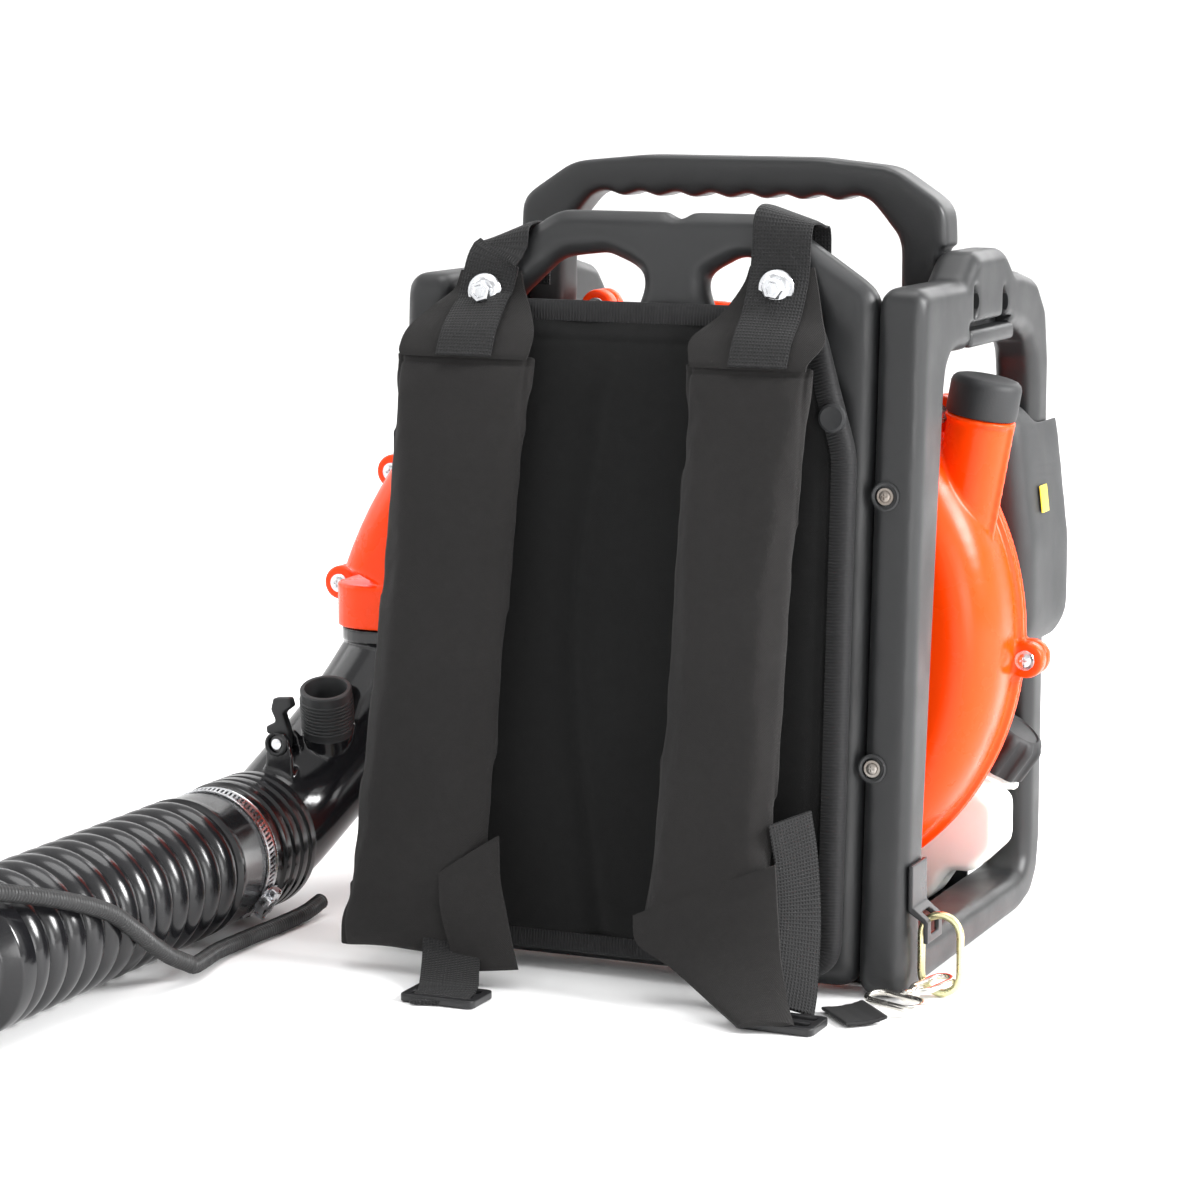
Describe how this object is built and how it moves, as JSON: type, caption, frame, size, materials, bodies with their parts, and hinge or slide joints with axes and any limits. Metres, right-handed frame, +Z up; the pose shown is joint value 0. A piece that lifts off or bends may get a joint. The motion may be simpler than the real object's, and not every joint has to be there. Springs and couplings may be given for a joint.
{
  "type": "backpack leaf blower",
  "caption": "Backpack leaf blower: engine and fan case in a moulded loop frame with padded harness, bellows hose, throttle grip, blow pipe and nozzle.",
  "frame": {"origin": "middle of the base tray's flat underside, on the floor", "axes": "+Z up, -Y towards the wearer's side with the harness, +X to the wearer's right as seen in the picture; the air tube lies on the floor along -Y"},
  "size_m": [0.562, 1.4304, 0.509],
  "materials": {
    "frame_plastic": "blow-moulded charcoal plastic, satin",
    "case_orange": "injection-moulded orange plastic, glossy",
    "control_orange": "orange plastic, semi-gloss",
    "matte_plastic": "fine-textured dark grey plastic",
    "soft_rubber": "black rubber and flexible plastic",
    "gloss_black": "black plastic, glossy",
    "cast_alloy": "die-cast, bead-blasted",
    "bright_steel": "plated steel",
    "yellow_zinc": "yellow zinc plating",
    "tank_white": "translucent off-white polyethylene",
    "filter_foam": "oiled filter foam",
    "oxford_nylon": "charcoal Oxford nylon weave",
    "black_webbing": "ribbed black polypropylene webbing"
  },
  "bodies": {
    "machine": {"side_frame_right": "frame_plastic", "side_frame_left": "frame_plastic", "back_frame": "frame_plastic", "carry_handle": "frame_plastic", "base_tray": "frame_plastic", "fan_case_rear": "case_orange", "fan_case_front": "case_orange", "intake_guard": "matte_plastic", "cylinder_shroud": "matte_plastic", "filter_base": "matte_plastic", "filter_cover": "matte_plastic", "recoil_housing": "matte_plastic", "damper_left": "soft_rubber", "damper_right": "soft_rubber", "spark_plug": "soft_rubber", "bellows_rear": "soft_rubber", "throttle_conduit_rear": "soft_rubber", "elbow": "gloss_black", "strap_buckle_left": "gloss_black", "strap_buckle_right": "gloss_black", "anchor_tab_left": "gloss_black", "anchor_tab_right": "gloss_black", "crankcase": "cast_alloy", "cylinder": "cast_alloy", "piston": "cast_alloy", "carburetor": "cast_alloy", "muffler": "bright_steel", "hose_clamp": "bright_steel", "snap_hook_left": "bright_steel", "snap_hook_right": "bright_steel", "oval_link_left": "yellow_zinc", "oval_link_right": "yellow_zinc", "fuel_tank": "tank_white", "filter_element": "filter_foam", "back_pad": "oxford_nylon", "shoulder_pad_left": "oxford_nylon", "shoulder_pad_right": "oxford_nylon", "upper_webbing_left": "black_webbing", "upper_webbing_right": "black_webbing", "lower_webbing_left": "black_webbing", "lower_webbing_right": "black_webbing"},
    "crank_train": {"crankshaft": "bright_steel", "impeller": "matte_plastic", "flywheel": "cast_alloy"},
    "pulley": {"starter_pulley": "matte_plastic"},
    "pull_grip": {"starter_grip": "soft_rubber"},
    "tank_cap": {"fuel_cap": "soft_rubber"},
    "spout_cap": {"spout_cap": "soft_rubber"},
    "choke": {"choke_lever": "control_orange"},
    "primer": {"primer_bulb": "soft_rubber"},
    "latch": {"latch_lever": "matte_plastic"},
    "hose_middle": {"bellows_middle": "soft_rubber"},
    "air_tube": {"handle_tube": "gloss_black", "bellows_front": "soft_rubber", "throttle_grip": "matte_plastic", "throttle_conduit_front": "soft_rubber"},
    "trigger": {"throttle_trigger": "control_orange"},
    "stop_switch": {"stop_switch": "control_orange"},
    "blow_pipe": {"blow_pipe": "gloss_black"},
    "nozzle": {"nozzle": "gloss_black"}
  },
  "joints": [
    {"name": "crank_spin", "type": "hinge", "parent": "machine", "child": "crank_train", "pos_m": [0.004, 0, 0.201], "axis": [0, 1, 0], "continuous": true},
    {"name": "starter_pull", "type": "slide", "parent": "machine", "child": "pull_grip", "axis": [0, 1, 0], "range_m": [0, 0.6], "stiffness_N_per_m": 8, "springref_m": -0.6},
    {"name": "pulley_spin", "type": "hinge", "parent": "machine", "child": "pulley", "pos_m": [0.004, 0, 0.201], "axis": [0, 1, 0], "range_deg": [0, 1080]},
    {"name": "fuel_cap_turn", "type": "hinge", "parent": "machine", "child": "tank_cap", "pos_m": [0.152, 0.0715, 0.096], "axis": [0.5707, 0, 0.8211], "continuous": true},
    {"name": "spout_cap_lift", "type": "slide", "parent": "machine", "child": "spout_cap", "axis": [0.1743, 0, 0.9847], "range_m": [0, 0.018]},
    {"name": "choke_turn", "type": "hinge", "parent": "machine", "child": "choke", "pos_m": [0.108, 0.112, 0.15], "axis": [1, 0, 0], "range_deg": [0, 55]},
    {"name": "primer_press", "type": "slide", "parent": "machine", "child": "primer", "axis": [0, -1, 0], "range_m": [0, 0.003], "stiffness_N_per_m": 200, "springref_m": -0.0005},
    {"name": "latch_turn", "type": "hinge", "parent": "machine", "child": "latch", "pos_m": [-0.293, -0.088, 0.112], "axis": [0, -1, 0], "range_deg": [0, 60]},
    {"name": "hose_yaw", "type": "hinge", "parent": "machine", "child": "hose_middle", "pos_m": [-0.304, -0.252, 0.048], "axis": [0, 0, 1], "range_deg": [-25, 25], "deforming": ["bellows_rear", "throttle_conduit_rear"]},
    {"name": "hose_pitch", "type": "hinge", "parent": "hose_middle", "child": "air_tube", "pos_m": [-0.304, -0.33, 0.048], "axis": [-1, 0, 0], "range_deg": [0, 35], "deforming": ["bellows_front", "throttle_conduit_front"]},
    {"name": "trigger_pull", "type": "hinge", "parent": "air_tube", "child": "trigger", "pos_m": [-0.304, -0.57378, 0.15046], "axis": [1, 0, 0], "range_deg": [0, 15], "stiffness_Nm_per_rad": 0.35, "springref_deg": -5.73},
    {"name": "stop_slide", "type": "slide", "parent": "air_tube", "child": "stop_switch", "axis": [0, 0.9996, 0.0267], "range_m": [0, 0.0045]},
    {"name": "pipe_twist", "type": "hinge", "parent": "air_tube", "child": "blow_pipe", "pos_m": [-0.304, -0.63993, 0.04266], "axis": [0, -0.9996, -0.0267], "range_deg": [0, 25]},
    {"name": "nozzle_twist", "type": "hinge", "parent": "blow_pipe", "child": "nozzle", "pos_m": [-0.304, -0.94982, 0.03438], "axis": [0, -0.9996, -0.0267], "range_deg": [0, 25]}
  ],
  "couplings": [
    {"joint": "pulley_spin", "follows": "starter_pull", "rad_per_m": 31.25}
  ]
}
